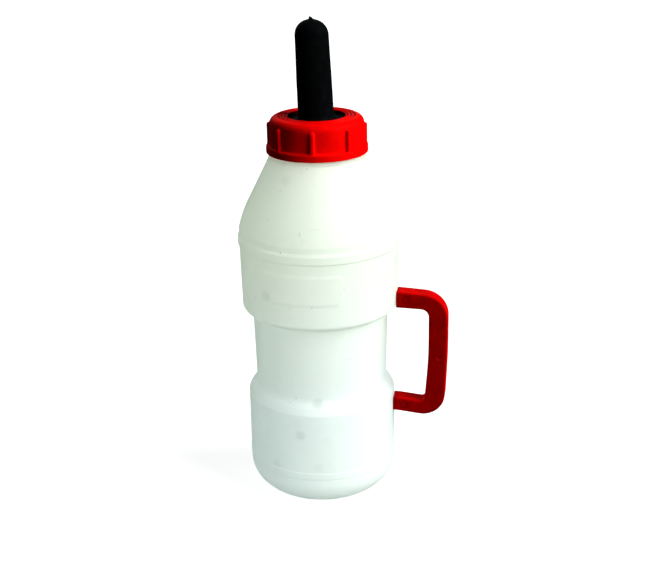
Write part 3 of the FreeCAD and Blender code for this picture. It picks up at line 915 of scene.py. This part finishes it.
def milky_polyethylene():
    """The bottle's wall: cool below and warm above, cloudy, mottled, marked, and lit through."""
    material, tree, surface, place = plain_material(
        "milky_polyethylene", Roughness=0.4, IOR=1.5, Specular_IOR_Level=0.15)
    height = coordinate(tree, place, "Z")
    cool, warm = (0.924, 0.968, 0.964), (0.934, 0.968, 0.909)
    colour = blend(tree, ramp(tree, height, 0.06, 0.24), cool, warm)
    cloudy = ramp(tree, noise(tree, place, 16.0), 0.35, 0.7)
    colour = blend(tree, times(tree, cloudy, 0.35), colour, (0.918, 0.955, 0.905))
    mottled = ramp(tree, noise(tree, place, 170.0, 4.0, 0.65), 0.40, 0.70)
    colour = blend(tree, times(tree, mottled, 0.30), colour, (0.885, 0.930, 0.882))
    for angle, at, strength in MARKS:
        away = distance(tree, place, on_the_wall(angle, at))
        inside = fade(tree, away, (MARK_R - 2.2) * MM, (MARK_R + 0.6) * MM)
        colour = blend(tree, times(tree, inside, 0.30 * strength), colour, (0.62, 0.67, 0.62))
    for angle, at, radius in SPECKS:
        dot = near(tree, distance(tree, place, on_the_wall(angle, at)), radius * MM)
        colour = blend(tree, times(tree, dot, 0.55), colour, GRIME)
    for start, end, darkness in SCRATCHES:
        off = off_line(tree, place, on_the_wall(*start), on_the_wall(*end))
        line = near(tree, off, SCRATCH_R * MM)
        colour = blend(tree, times(tree, line, darkness), colour, GRIME)
    colour = blend(tree, specks(tree, place, 210.0, 0.0003, 0.06), colour, (0.45, 0.44, 0.38))
    tree.links.new(colour, surface.inputs["Base Color"])
    tree.links.new(between(tree, noise(tree, place, 90.0), 0.34, 0.50), surface.inputs["Roughness"])
    bump(tree, surface, [(noise(tree, place, 60.0, 2.0), 0.0004),
                         (noise(tree, place, 900.0, 2.0), 0.00003)])
    lit_through(tree, surface, colour, 0.5)
    return material


def red_plastic(name, colour, dark, roughness, grain):
    """Moulded red plastic: cloudy colour, paler edges (part rubbing, part painted highlight) and a fine
    grain. Returns the colour's socket too, for the shading that only one piece has."""
    material, tree, surface, place = plain_material(
        name, Roughness=roughness, IOR=1.49, Specular_IOR_Level=0.005)
    cloudy = ramp(tree, noise(tree, place, 120.0, 4.0, 0.6), 0.3, 0.72)
    made = blend(tree, cloudy, dark, colour)
    # Paler rounded edges: partly rubbing, and partly a painted highlight on them.
    edges = tree.nodes.new("ShaderNodeNewGeometry").outputs["Pointiness"]
    worn_and_highlit = times(tree, ramp(tree, edges, 0.53, 0.60), 0.3)
    made = blend(tree, worn_and_highlit, made, (0.74, 0.004, 0.003))
    tree.links.new(between(tree, noise(tree, place, 260.0, 4.0), roughness - 0.08, roughness + 0.12),
                   surface.inputs["Roughness"])
    bump(tree, surface, [(noise(tree, place, 140.0, 2.0), grain * 3.0),
                         (noise(tree, place, 1400.0, 3.0), grain)])
    return material, tree, surface, place, made


def handle_plastic(name, pockets):
    """The handle's red, with painted shade: its two flat sides darker than its rim, and its pin pockets
    dark.
    """
    material, tree, surface, place, made = red_plastic(
        name, (0.60, 0.0008, 0.0005), (0.42, 0.0004, 0.0003), 0.55, 0.00006)
    # Painted shade: the two flat sides are darkened by about a quarter against the rim.
    across = times(tree, coordinate(tree, place, "Y"), 0.0, "ABSOLUTE")
    side = ramp(tree, across, (HANDLE_HALF - 1.1) * MM, (HANDLE_HALF - 0.4) * MM)
    flat_side_shade = blend(tree, 1.0, made, (0.74, 0.5, 0.5), "MULTIPLY")
    made = blend(tree, side, made, flat_side_shade)
    flat = vectors(tree, "MULTIPLY", place, (1.0, 0.0, 1.0)).outputs["Vector"]
    # Painted shade: each pin's pocket in the handle is darkened nearly to black.
    for reach, at in pockets:
        off = distance(tree, flat, Vector((reach, 0.0, at)) * MM)
        pocket_shade = near(tree, off, (PIN_HEAD_R + HEAD_GAP - 0.1) * MM)
        made = blend(tree, times(tree, pocket_shade, 0.85), made, (0.05, 0.0002, 0.0002))
    tree.links.new(made, surface.inputs["Base Color"])
    return material


def collar_plastic():
    """The collar's red, with painted shade: nearly black inside its hole, and dark in the ring grooves.
    """
    material, tree, surface, place, made = red_plastic(
        "collar_red", (0.86, 0.0008, 0.0005), (0.76, 0.0004, 0.0003), 0.45, 0.00003)
    flat = vectors(tree, "MULTIPLY", place, (1.0, 1.0, 0.0)).outputs["Vector"]
    reach = add(tree, "ShaderNodeVectorMath", {0: flat}, operation="LENGTH").outputs["Value"]
    height = coordinate(tree, place, "Z")
    # Painted shade: the ring grooves, sunk below the collar's top, are darkened to a deep red.
    sunk = fade(tree, height, (COLLAR_TOP - 0.7) * MM, (COLLAR_TOP - 0.15) * MM)
    roof = near(tree, reach, (GROOVE_RADII[-1] + GROOVE_WIDTH) * MM)
    made = blend(tree, times(tree, times(tree, sunk, roof), 0.6), made, SHADE_RED)
    # Painted shade: the inside of the hole, below the roof, is made nearly black.
    hole = near(tree, reach, (COLLAR_HOLE_R + 0.2) * MM)
    tree.links.new(blend(tree, hole, made, SHADE_RED), surface.inputs["Base Color"])
    return material


def black_rubber():
    """The teat's matt rubber, with a faint cool sheen and pale dust specks."""
    material, tree, surface, place = plain_material(
        "black_rubber", Roughness=0.5, IOR=1.5, Specular_IOR_Level=0.004, Sheen_Weight=0.004,
        Sheen_Roughness=0.4, Sheen_Tint=(0.75, 0.85, 1.0, 1.0))
    cloudy = ramp(tree, noise(tree, place, 180.0, 4.0), 0.35, 0.7)
    colour = blend(tree, cloudy, (0.0012, 0.0015, 0.0017), (0.0022, 0.0026, 0.0030))
    colour = blend(tree, specks(tree, place, 420.0, 0.0003, 0.10), colour, (0.02, 0.02, 0.019))
    tree.links.new(colour, surface.inputs["Base Color"])
    rough = between(tree, noise(tree, place, 300.0, 4.0), 0.42, 0.62)
    tree.links.new(rough, surface.inputs["Roughness"])
    bump(tree, surface, [(noise(tree, place, 150.0, 2.0), 0.00012),
                         (noise(tree, place, 1600.0, 3.0), 0.00002)])
    return material


def clean_plastic(name, colour, dark, roughness):
    """Smooth moulded plastic for the valve's small pieces."""
    material, tree, surface, place = plain_material(name, Roughness=roughness, IOR=1.5)
    cloudy = ramp(tree, noise(tree, place, 240.0, 3.0), 0.3, 0.7)
    tree.links.new(blend(tree, cloudy, dark, colour), surface.inputs["Base Color"])
    bump(tree, surface, [(noise(tree, place, 1500.0, 2.0), 0.00001)])
    return material


def studio_floor():
    """Pale and evenly lit, with room left for a soft shadow."""
    material, tree, surface, place = plain_material(
        "studio_floor", Roughness=0.9, Specular_IOR_Level=0.0, Emission_Color=(1.0, 1.0, 1.0, 1.0),
        Emission_Strength=0.80)
    cloudy = ramp(tree, noise(tree, place, 1.5, 2.0), 0.2, 0.8)
    grey = blend(tree, cloudy, (0.60, 0.60, 0.60), (0.62, 0.62, 0.62))
    tree.links.new(grey, surface.inputs["Base Color"])
    return material


def studio_backdrop():
    """The same pale tone everywhere, whatever light falls on it."""
    material, tree, surface, place = plain_material(
        "studio_backdrop", Roughness=1.0, Specular_IOR_Level=0.0, Emission_Strength=1.0)
    cloudy = ramp(tree, noise(tree, place, 0.05, 2.0), 0.2, 0.8)
    pale = blend(tree, cloudy, (0.98, 0.98, 0.98), (1.0, 1.0, 1.0))
    tree.links.new(pale, surface.inputs["Emission Color"])
    surface.inputs["Base Color"].default_value = (0.0, 0.0, 0.0, 1.0)
    return material


# --- The object ---------------------------------------------------------------------------------
handle_red = handle_plastic("handle_red", ARMS)
pin_red = handle_plastic("pin_red", ())

MADE = [                         # piece, body it rides on, CAD node it replaces, slot, material
    (make_bottle(), "bottle", "bottle_body", "bottle", milky_polyethylene()),
    (make_handle(), "bottle", "handle", "handle", handle_red),
    (make_pin("pin_upper", ARMS[0]), "bottle", "handle_pin_upper", "pin", pin_red),
    (make_pin("pin_lower", ARMS[1]), "bottle", "handle_pin_lower", "pin", pin_red),
    (make_collar(), "collar", "screw_collar", "collar", collar_plastic()),
    (make_teat(), "teat_unit", "teat", "teat", black_rubber()),
]
for piece, body, node, slot, material in MADE:
    piece.data.materials.clear()
    piece.data.materials.append(material)
    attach(piece, body)
    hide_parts(node)

valve_white = clean_plastic("valve_white", (0.82, 0.83, 0.80), (0.74, 0.75, 0.72), 0.4)
ball_white = clean_plastic("ball_white", (0.70, 0.71, 0.72), (0.60, 0.61, 0.62), 0.25)
SHOWN_CAD_NODES = (
    ("valve_body", "valve", valve_white),
    ("valve_cage", "valve", valve_white),
    ("valve_ball", "ball", ball_white),
)
for node, slot, material in SHOWN_CAD_NODES:
    cad_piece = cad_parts[node]
    cad_piece.data.materials.clear()
    cad_piece.data.materials.append(material)


# --- Stage, light and camera --------------------------------------------------------------------
def make_stage(name, vertices, faces, material):
    """A floor or a backdrop, hidden from diffuse and glossy rays so that it doesn't tint the object."""
    mesh = bpy.data.meshes.new(name)
    mesh.from_pydata(vertices, [], faces)
    mesh.materials.append(material)
    part = bpy.data.objects.new(name, mesh)
    bpy.context.scene.collection.objects.link(part)
    part.visible_diffuse = False
    part.visible_glossy = False
    return part


def make_floor_and_backdrop():
    """A wide floor in a closed box, which lets the suns in and adds no light to the milky wall."""
    reach = STAGE_REACH
    corners = [(-reach, -reach, 0), (reach, -reach, 0), (reach, reach, 0), (-reach, reach, 0)]
    make_stage("floor", corners, [(0, 1, 2, 3)], studio_floor())
    tops = [(x, y, reach) for x, y, _ in corners]
    walls = [(side, (side + 1) % 4, (side + 1) % 4 + 4, side + 4) for side in range(4)]
    backdrop = make_stage("backdrop", corners + tops, [*walls, (4, 5, 6, 7)], studio_backdrop())
    backdrop.visible_shadow = False
    backdrop.visible_transmission = False


def soft_sun(name, angle, elevation, spread, strength, only=()):
    """A soft light that is the same all over the scene, from one direction round the bottle. With
    only, it lights those pieces alone."""
    data = bpy.data.lights.new(name, "SUN")
    data.angle = math.radians(spread)
    data.energy = strength
    light = bpy.data.objects.new(name, data)
    turn, lift = math.radians(angle), math.radians(elevation)
    away = Vector((math.cos(turn) * math.cos(lift), math.sin(turn) * math.cos(lift), math.sin(lift)))
    light.location = away
    light.rotation_euler = away.to_track_quat("Z", "Y").to_euler()
    bpy.context.scene.collection.objects.link(light)
    if only:
        lit = bpy.data.collections.new(name + "_receivers")
        for piece in only:
            lit.objects.link(piece)
        light.light_linking.receiver_collection = lit


def make_camera():
    """The camera, aimed near the bottle's axis and rolled a little."""
    turn = math.radians(CAMERA_ANGLE)
    place = Vector((CAMERA_REACH * math.cos(turn), CAMERA_REACH * math.sin(turn), CAMERA_HEIGHT))
    to_right = Vector((-math.sin(turn), math.cos(turn), 0.0))
    aim = Vector((0.0, 0.0, AIM_HEIGHT)) + to_right * AIM_RIGHT
    forward = (aim - place).normalized()
    right = forward.cross(Vector((0.0, 0.0, 1.0))).normalized()
    up = right.cross(forward)
    roll = math.radians(CAMERA_ROLL)
    rolled_right = right * math.cos(roll) + up * math.sin(roll)
    rolled_up = up * math.cos(roll) - right * math.sin(roll)
    data = bpy.data.cameras.new("camera")
    data.lens = CAMERA_LENS
    data.clip_start, data.clip_end = 0.01, 200.0
    camera = bpy.data.objects.new("camera", data)
    camera.matrix_world = Matrix.Translation(place) @ Matrix(
        (rolled_right, rolled_up, -forward)).transposed().to_4x4()
    bpy.context.scene.collection.objects.link(camera)
    bpy.context.scene.camera = camera


make_floor_and_backdrop()
pieces = [entry[0] for entry in MADE]
soft_sun("key", angle=-10.0, elevation=31.0, spread=56.0, strength=4.3)
soft_sun("key_on_colour", angle=-10.0, elevation=31.0, spread=50.0, strength=1.4, only=pieces[1:])
soft_sun("back", angle=115.0, elevation=30.0, spread=60.0, strength=0.8)
soft_sun("through_the_wall", angle=-101.0, elevation=18.0, spread=115.0, strength=1.8, only=pieces[:1])
make_camera()

world = bpy.data.worlds.new("studio")
world.use_nodes = True
world.node_tree.nodes["Background"].inputs["Color"].default_value = (1.0, 1.0, 1.0, 1.0)
world.node_tree.nodes["Background"].inputs["Strength"].default_value = 0.03
scene = bpy.context.scene
scene.world = world
scene.view_settings.view_transform = "Standard"
scene.cycles.diffuse_bounces = 12
scene.cycles.transmission_bounces = 16
scene.cycles.max_bounces = 24
